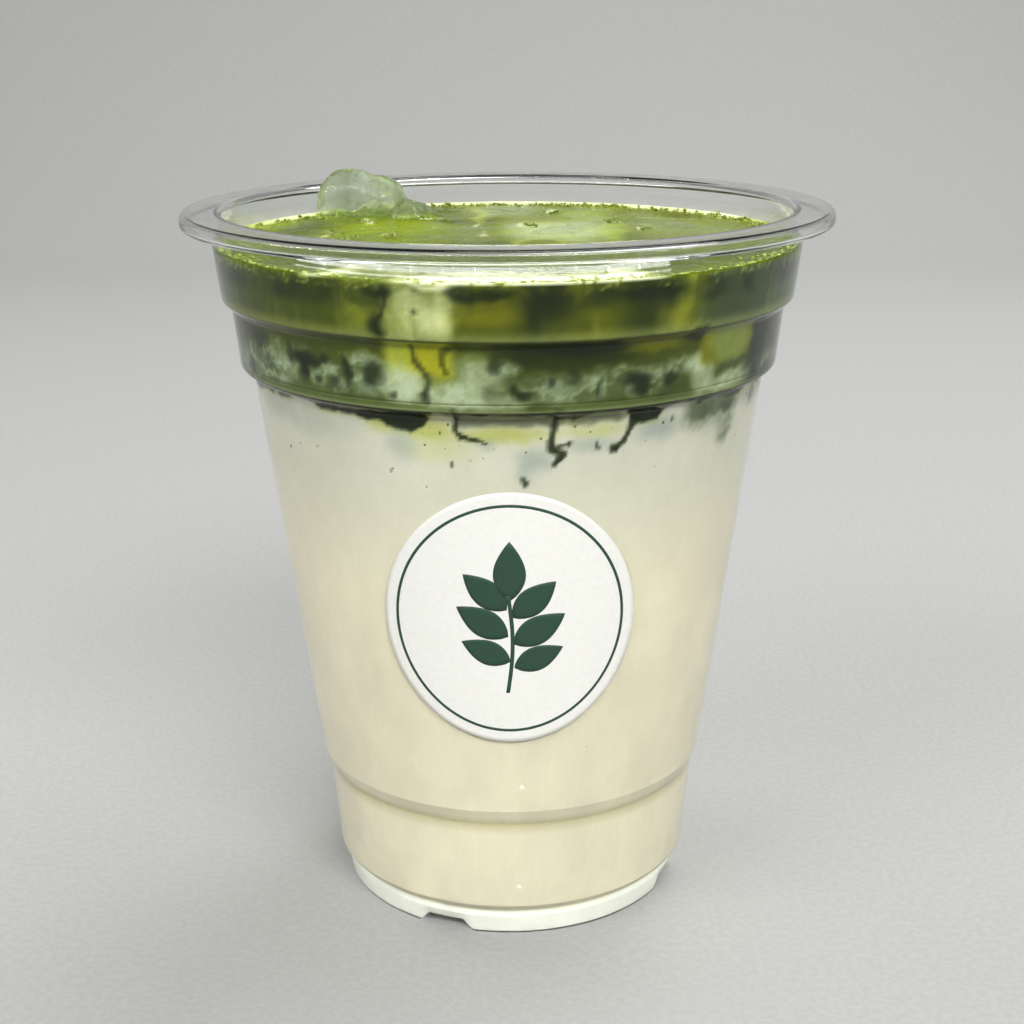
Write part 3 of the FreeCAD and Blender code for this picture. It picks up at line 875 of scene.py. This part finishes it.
def teaMaterial(name, gloss):
    material, tree, shader, output = nodesOf(name, {"IOR": 1.35, "Specular IOR Level": gloss})
    paintUnder(tree, shader, noiseTexture(tree, 2600.0, 3.0, 0.65), 0.18)
    froth = noiseTexture(tree, 420.0, 3.0)
    tree.links.new(ramp(tree, froth.outputs["Fac"], 0.35, 0.7, 0.12, 0.4), shader.inputs["Roughness"])
    if gloss == 0:
        bump(tree, shader, froth.outputs["Fac"], 0.10, 0.0003)
    return material


def makeMilk():
    outline = wallOutline()
    below = [p for p in outline if p[1] < teaFloor - 0.01]
    at = next(i for i, p in enumerate(below) if i > wallStart and p[1] > drink["plainTop"])
    below.insert(at, onOutline(below, drink["plainTop"]))
    end = onOutline(outline, teaFloor)
    rows = divided(below + [end], rowLength)
    rows += divided([end, (0.0, teaFloor)], lambda z: drink["floorRing"])[1:]
    points = lathePoints(rows, drink["columns"])
    liftFoot(points, drink["wallLift"])
    faces = latheFaces(len(rows) - 2, drink["columns"])
    piece = makePiece("milkBody", points, faces, milkMaterial(), ["milk"])
    storePaint(piece, wallPaint(points))


def makeTea():
    outline = wallOutline()
    start, end = onOutline(outline, teaFloor), onOutline(outline, liquidTop)
    wall = [p for p in outline[wallStart:] if teaFloor < p[1] < liquidTop]
    rows = divided([(0.0, teaFloor), start], lambda z: drink["floorRing"])
    rows += divided([start] + wall + [end], rowLength)[1:]
    topStart = 1 + (len(rows) - 2) * drink["columns"]
    rows += divided([end, (0.0, liquidTop)], lambda z: drink["ring"])[1:]
    points = lathePoints(rows, drink["columns"])
    x, y = points[:, 0], points[:, 1]
    radius = np.hypot(x, y)
    onTop = np.arange(len(points)) >= topStart
    ripple = flatNoise(x, y, drink["rippleSize"], 301, 2) - 0.5
    climb = drink["meniscus"] * smooth(end[0] - drink["meniscusWidth"], end[0], radius) ** 2
    rippled = drink["ripple"] * 2 * ripple * (1 - smooth(*drink["calm"], radius))
    points[:, 2] += np.where(onTop, rippled + climb, 0)
    faces = latheFaces(len(rows) - 2, drink["columns"])
    wallTea = teaMaterial("matcha at the wall", 0.0)
    piece = makePiece("matchaBody", points, faces, wallTea, ["matcha"])
    piece.data.materials.append(teaMaterial("matcha surface", drink["surfaceGloss"]))
    for polygon in piece.data.polygons:
        polygon.material_index = 1 if min(polygon.vertices) >= topStart else 0
    paint = wallPaint(points)
    paint[onTop] = surfacePaint(x, y)[onTop]
    storePaint(piece, paint)


makeMilk()
makeTea()
print("drink poured")


# lumps that a block is melted from: (x, y, z), (half width, half depth, half height)
iceBlocks = {
    "icePeak": {"node": "ice_peak", "voxel": 0.4, "lumps": [
        ((-26.2, 28.4, 104.4), (5.9, 4.4, 7.2)), ((-22.4, 28.2, 103.4), (5.6, 4.6, 7.3)),
        ((-18.2, 28.2, 101.8), (7.0, 4.8, 4.7)), ((-14.8, 28.2, 100.6), (5.4, 4.4, 4.0)),
        ((-24.0, 28.6, 97.0), (8.0, 5.4, 8.0))]},
    "iceMiddle": {"node": "ice_middle", "voxel": 0.6, "lumps": [
        ((7.5, 8.5, 98.0), (8.2, 11.0, 6.1)), ((12.5, 16.0, 98.0), (7.0, 10.0, 6.0))]},
    "iceBack": {"node": "ice_back", "voxel": 0.6, "lumps": [((0.8, 34.2, 98.0), (5.8, 5.6, 6.0))]},
    "iceRight": {"node": "ice_right", "voxel": 0.6, "lumps": [((27.0, 14.5, 98.0), (8.4, 9.8, 6.0))]},
}
iceLook = {
    "bare": (206, 216, 194), "haze": (150, 166, 132), "wet": (140, 166, 40), "film": (190, 204, 152),
}
melt = {
    "rows": 24,
    "columns": 36,
    "roundness": 0.8,  # 1 is an ellipsoid, less is boxier
    "relax": (0.6, 6),  # factor and rounds
    "wear": 0.35,
    "wearScale": 0.28,
    "below": 0.02,  # room left under the top of the frame's block
}


def iceMaterial(name, clear):
    material, tree, shader, output = nodesOf(name, {"IOR": 1.31, "Transmission Weight": clear})
    layer = add(tree, "ShaderNodeAttribute", attribute_name="paint")
    tree.links.new(layer.outputs["Color"], shader.inputs["Base Color"])
    cracks = noiseTexture(tree, 380.0, 4.0, 0.6, 0.8)
    tree.links.new(ramp(tree, cracks.outputs["Fac"], 0.35, 0.7, 0.05, 0.30), shader.inputs["Roughness"])
    bump(tree, shader, cracks.outputs["Fac"], 0.35, 0.0006)
    if clear > 0.5:
        lampsThrough(tree, shader, output)
    return material


def meltLumps(name, block):
    # boxes with rounded corners, fused, remeshed and worn
    points = []
    faces = []
    rows, columns = melt["rows"], melt["columns"]
    for centre, half in block["lumps"]:
        start = len(points)
        for i in range(rows + 1):
            up = math.pi * i / rows - math.pi / 2
            for j in range(columns):
                turn = 2 * math.pi * j / columns
                arm = np.array([math.cos(up) * math.cos(turn), math.cos(up) * math.sin(turn), math.sin(up)])
                arm = np.sign(arm) * np.abs(arm) ** melt["roundness"]
                points.append(tuple(np.array(centre) + arm * np.array(half)))
        for i in range(rows):
            a = start + i * columns
            for j in range(columns):
                k = (j + 1) % columns
                faces.append((a + j, a + k, a + columns + k, a + columns + j))
    mesh = bpy.data.meshes.new(name + " lumps")
    mesh.from_pydata((np.array(points) * mm).tolist(), [], faces)
    raw = bpy.data.objects.new(name + " lumps", mesh)
    bpy.context.scene.collection.objects.link(raw)
    remesh = raw.modifiers.new("remesh", "REMESH")
    remesh.mode = "VOXEL"
    remesh.voxel_size = block["voxel"] * mm
    relax = raw.modifiers.new("relax", "SMOOTH")
    relax.factor, relax.iterations = melt["relax"]
    bpy.context.view_layer.update()
    evaluated = raw.evaluated_get(bpy.context.evaluated_depsgraph_get())
    made = bpy.data.meshes.new_from_object(evaluated)
    bpy.data.objects.remove(raw)
    coords = np.array([v.co[:] for v in made.vertices]) / mm
    normals = np.array([v.normal[:] for v in made.vertices])
    worn = np.array([noise.fractal(Vector(p * melt["wearScale"]), 1.0, 2.1, 3) for p in coords])
    coords = coords + normals * (melt["wear"] * worn)[:, None]
    polygons = [tuple(p.vertices) for p in made.polygons]
    bpy.data.meshes.remove(made)
    return coords, polygons


def makeIce():
    clearIce = iceMaterial("clear ice", 0.85)
    filmedIce = iceMaterial("ice under tea", 0.15)
    for name, block in iceBlocks.items():
        coords, polygons = meltLumps(name, block)
        coords[:, 2] = np.minimum(coords[:, 2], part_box(block["node"])[1].z / mm - melt["below"])
        peak = name == "icePeak"
        material = clearIce if peak else filmedIce
        piece = makePiece(name, coords, polygons, material, [block["node"]])
        above = coords[:, 2] - liquidTop
        x, y = coords[:, 0], coords[:, 1]
        fine = flatNoise(x, y, 2.2, 411, 4)
        if peak:
            paint = coated(filled(x.shape, iceLook["bare"]), iceLook, [
                ("haze", 0.6 * smooth(0.35, 0.7, fine)),
                ("wet", 1 - smooth(-0.2, 1.0, above + 0.6 * (fine - 0.5)))])
        else:
            film = 0.45 * smooth(-0.1, 0.4, above) * smooth(0.3, 0.7, fine)
            paint = mix(surfacePaint(x, y), iceLook["film"], film)
        storePaint(piece, paint)


makeIce()
print("ice melted in")


small = {
    "rimBubbles": 1500,
    "rimBubbleSize": (0.12, 0.42),
    "rimInset": 0.3,
    "rimSpread": 0.9,
    "bubbleSize": (0.10, 0.38),
    "bubbleFlat": 0.8,
    "specks": 120,
    "speckSize": (0.07, 0.24),
    "speckTop": 84.5,
    "speckReach": 34.0,
    "speckDepth": 0.24,  # from the outside of the wall
    # (bearing, height, radius)
    "droplets": [(3.0, 27.5, 0.42), (2.6, 9.4, 0.4), (-27.0, 49.0, 0.3), (31.0, 43.0, 0.3),
                 (20.0, 33.0, 0.25), (140.0, 60.0, 0.35), (-120.0, 35.0, 0.35)],
}
# clusters of froth on the surface: (x, y, spread, how many)
clusters = [(-23, 20, 2.4, 60), (-24, 1, 2.2, 50), (-27.5, 6, 1.8, 40), (-15, 24, 3.0, 60),
            (-18, 3, 2.0, 30), (17, 19, 1.6, 30), (21.5, 10, 1.8, 25), (35, 27, 3.0, 60),
            (-30, 26, 2.0, 40), (4, 15, 1.5, 20), (8, 31, 1.6, 20), (5, -31, 4.0, 40),
            (-10, 20, 1.5, 20)]


def ballShape(level):
    mesh = bpy.data.meshes.new("ball")
    shape = bmesh.new()
    bmesh.ops.create_icosphere(shape, subdivisions=level, radius=1.0)
    shape.to_mesh(mesh)
    shape.free()
    points = np.array([v.co[:] for v in mesh.vertices])
    faces = [tuple(p.vertices) for p in mesh.polygons]
    bpy.data.meshes.remove(mesh)
    return points, faces


def scatter(places, sizes, level):
    # places are centres, sizes are half lengths outwards, sideways and up
    ball, triangles = ballShape(level)
    points = []
    faces = []
    for centre, size in zip(places, sizes):
        start = len(points) * len(ball)
        turn = math.atan2(centre[0], -centre[1])
        out = np.array([math.sin(turn), -math.cos(turn), 0])
        side = np.array([math.cos(turn), math.sin(turn), 0])
        axes = np.stack([out * size[0], side * size[1], np.array([0, 0, size[2]])])
        points.append(np.array(centre) + ball @ axes)
        faces.extend(tuple(start + v for v in triangle) for triangle in triangles)
    return np.concatenate(points), faces


def wetMaterial(name, low, high, roughness, clear=0.0):
    values = {"Roughness": roughness, "IOR": 1.33, "Transmission Weight": clear}
    material, tree, shader, output = nodesOf(name, values)
    twoTones(tree, shader, noiseTexture(tree, 900.0, 2.0), low, high, (0.35, 0.65))
    if clear > 0.5:
        lampsThrough(tree, shader, output)
    return material


def makeFroth():
    rng = np.random.default_rng(17)
    places = []
    sizes = []
    low, high = small["rimBubbleSize"]
    flat = small["bubbleFlat"]
    wall = 43.75
    while len(places) < small["rimBubbles"]:
        turn = rng.uniform(-np.pi, np.pi)
        crowd = (0.5 + 0.5 * math.sin(3 * turn + 0.6)) * (0.5 + 0.5 * math.sin(7 * turn))
        if rng.random() > 0.25 + 0.75 * crowd:
            continue
        radius = wall - small["rimInset"] - rng.exponential(small["rimSpread"])
        size = low + (high - low) * rng.random() ** 2.5
        climb = drink["meniscus"] * float(smooth(wall - drink["meniscusWidth"], wall, radius)) ** 2
        places.append(around(turn, radius, liquidTop + climb + 0.2 * size))
        sizes.append((size, size, flat * size))
    low, high = small["bubbleSize"]
    for x, y, spread, count in clusters:
        for i in range(count):
            size = low + (high - low) * rng.random() ** 3
            place = (x + rng.normal(0, 0.35 * spread), y + rng.normal(0, 0.6 * spread), liquidTop + 0.12)
            places.append(place)
            sizes.append((size, size, flat * size))
    points, faces = scatter(places, sizes, 1)
    material = wetMaterial("froth bubble", (96, 112, 10), (170, 184, 96), 0.12, 0.2)
    makePiece("frothBubbles", points, faces, material)


def makeSpecks():
    rng = np.random.default_rng(29)
    places = []
    sizes = []
    low, high = small["speckSize"]
    for i in range(small["specks"]):
        turn = rng.uniform(-np.pi, np.pi)
        height = small["speckTop"] - min(rng.exponential(4.0), small["speckReach"])
        size = low + (high - low) * rng.random() ** 2
        places.append(around(turn, float(wallRadius(height)) - small["speckDepth"], height))
        sizes.append((0.08, size, size * rng.uniform(0.7, 1.6)))
    points, faces = scatter(places, sizes, 1)
    material = wetMaterial("tea speck", (70, 84, 10), (110, 120, 50), 0.6)
    makePiece("teaSpecks", points, faces, material)


def makeDroplets():
    places = []
    sizes = []
    for bearing, height, size in small["droplets"]:
        places.append(around(math.radians(bearing), float(wallRadius(height)), height))
        sizes.append((0.5 * size, size, 1.15 * size))
    points, faces = scatter(places, sizes, 3)
    material = wetMaterial("water droplet", (240, 246, 244), (250, 252, 250), 0.03, 0.95)
    makePiece("droplets", points, faces, material)


makeFroth()
print("froth scattered")


label = {
    "halfWide": 17.7,
    "halfTall": 19.7,
    "height": 55.0,
    "thick": 0.15,
    "sunk": -0.04,  # the back of the paper, just inside the wall
    "corners": 144,
    "rings": 30,
    "ink": (-0.02, 0.015),  # where the print begins and ends, off the paper
    "ringShare": 0.90,
    "ringHalf": 0.011,
    "green": (48, 79, 62),
    "paper": (255, 255, 247),
    # length, width, lean and foot of each leaf
    "leaves": [(9.2, 4.6, 0, (0.0, 3.2)), (8.2, 4.2, 48, (0.4, 0.6)), (8.2, 4.2, -48, (-0.4, 1.8)),
               (8.6, 4.4, 58, (0.5, -3.6)), (8.6, 4.4, -58, (-0.2, -2.4)), (7.6, 3.9, 66, (0.6, -7.4)),
               (7.6, 3.9, -66, (0.1, -6.4))],
    "stem": (-11.5, 4.0),
    "stemSteps": 24,
    "stemHalf": 0.28,
    "stemSway": 0.7,
}


def wrapped(x, z, lift):
    # a flat place on the label, laid on the wall
    radius = wallRadius(z)
    turn = np.arcsin(x / radius)
    return np.stack([(radius + lift) * np.sin(turn), -(radius + lift) * np.cos(turn), z], axis=-1)


def sheetSolid(loopX, loopZ, lowLift, highLift, rings, centre):
    # closed thin solid over a star-shaped outline
    count = len(loopX)
    cx, cz = centre
    points = []
    faces = []
    for side, lift in enumerate((highLift, lowLift)):
        base = side * (1 + rings * count)
        points.append(wrapped(np.array([cx]), np.array([cz]), lift)[0])
        for ring in range(1, rings + 1):
            share = ring / rings
            points.extend(wrapped(cx + (loopX - cx) * share, cz + (loopZ - cz) * share, lift))
        for j in range(count):
            k = (j + 1) % count
            first = (base, base + 1 + j, base + 1 + k)
            faces.append(first if side == 0 else first[::-1])
            for ring in range(rings - 1):
                a = base + 1 + ring * count
                quad = (a + j, a + count + j, a + count + k, a + k)
                faces.append(quad if side == 0 else quad[::-1])
    front = 1 + (rings - 1) * count
    back = front + 1 + rings * count
    for j in range(count):
        k = (j + 1) % count
        faces.append((front + k, front + j, back + j, back + k))
    return points, faces


def paperMaterial(name, colour, roughness):
    material, tree, shader, output = nodesOf(name, {"Specular IOR Level": 0.3})
    fibres = noiseTexture(tree, 1400.0, 4.0)
    twoTones(tree, shader, fibres, colour, [0.955 * c for c in colour], (0.35, 0.75, 0.0, 0.6))
    rough = ramp(tree, fibres.outputs["Fac"], 0.3, 0.7, roughness - 0.05, roughness + 0.08)
    tree.links.new(rough, shader.inputs["Roughness"])
    bump(tree, shader, fibres.outputs["Fac"], 0.08, 0.0001)
    return material


def leafOutline(length, width, lean, foot):
    # almond shape from foot, pointing along lean degrees from upright
    t = np.linspace(0, 1, 15)
    swell = np.sin(np.pi * t ** 0.85) ** 0.9
    along = np.concatenate([t, t[-2:0:-1]]) * length
    across = np.concatenate([swell, -swell[-2:0:-1]]) * width / 2
    turn = math.radians(lean)
    x = foot[0] + along * math.sin(turn) + across * math.cos(turn)
    z = foot[1] + along * math.cos(turn) - across * math.sin(turn)
    middle = (foot[0] + 0.5 * length * math.sin(turn), foot[1] + 0.5 * length * math.cos(turn))
    return x, z, middle


def stemSolid(low, high):
    foot, top = label["stem"]
    stemZ = np.linspace(foot, top, label["stemSteps"])
    stemX = label["stemSway"] * np.sin((stemZ - foot) / (top - foot) * 3.0) - 0.3
    points = []
    faces = []
    for x, z in zip(stemX, stemZ):
        for side in (-label["stemHalf"], label["stemHalf"]):
            for lift in (low, high + 0.004):
                points.append(wrapped(np.array([x + side]), np.array([z + label["height"]]), lift)[0])
    for i in range(len(stemX) - 1):
        a, b = 4 * i, 4 * i + 4
        faces += [(a + 1, a + 3, b + 3, b + 1), (a + 2, a, b, b + 2)]
        faces += [(a, a + 1, b + 1, b), (a + 3, a + 2, b + 2, b + 3)]
    faces += [(0, 2, 3, 1), (b + 1, b + 3, b + 2, b)]
    return points, faces


def ringSolid(loopX, loopZ, low, high):
    points = []
    faces = []
    for share in (label["ringShare"] - label["ringHalf"], label["ringShare"] + label["ringHalf"]):
        for lift in (low, high):
            points.extend(wrapped(loopX * share, label["height"] + loopZ * share, lift))
    n = len(loopX)
    for j in range(n):
        k = (j + 1) % n
        faces += [(n + j, 3 * n + j, 3 * n + k, n + k), (j, k, 2 * n + k, 2 * n + j)]
        faces += [(j, n + j, n + k, k), (2 * n + j, 2 * n + k, 3 * n + k, 3 * n + j)]
    return points, faces


def makeLabel():
    turn = np.arange(label["corners"]) * 2 * np.pi / label["corners"]
    loopX = label["halfWide"] * np.sin(turn)
    loopZ = label["halfTall"] * np.cos(turn)
    height, thick = label["height"], label["thick"]
    points, faces = sheetSolid(loopX, height + loopZ, label["sunk"], thick, label["rings"], (0.0, height))
    paper = paperMaterial("label paper", label["paper"], 0.42)
    makePiece("labelDisc", points, faces, paper, ["label"])
    # print: a sprig of leaves inside a thin ring
    low, high = [thick + lift for lift in label["ink"]]
    solids = []
    for length, width, lean, foot in label["leaves"]:
        x, z, middle = leafOutline(length, width, lean, (foot[0], foot[1] + height))
        solids.append(sheetSolid(x, z, low, high, 4, middle))
    solids += [stemSolid(low, high), ringSolid(loopX, loopZ, low, high)]
    points = []
    faces = []
    for solidPoints, solidFaces in solids:
        start = len(points)
        points.extend(solidPoints)
        faces.extend(tuple(start + v for v in face) for face in solidFaces)
    makePiece("labelPrint", points, faces, paperMaterial("green ink", label["green"], 0.5))


makeLabel()
makeSpecks()
makeDroplets()
print("label stuck on, specks and droplets placed")
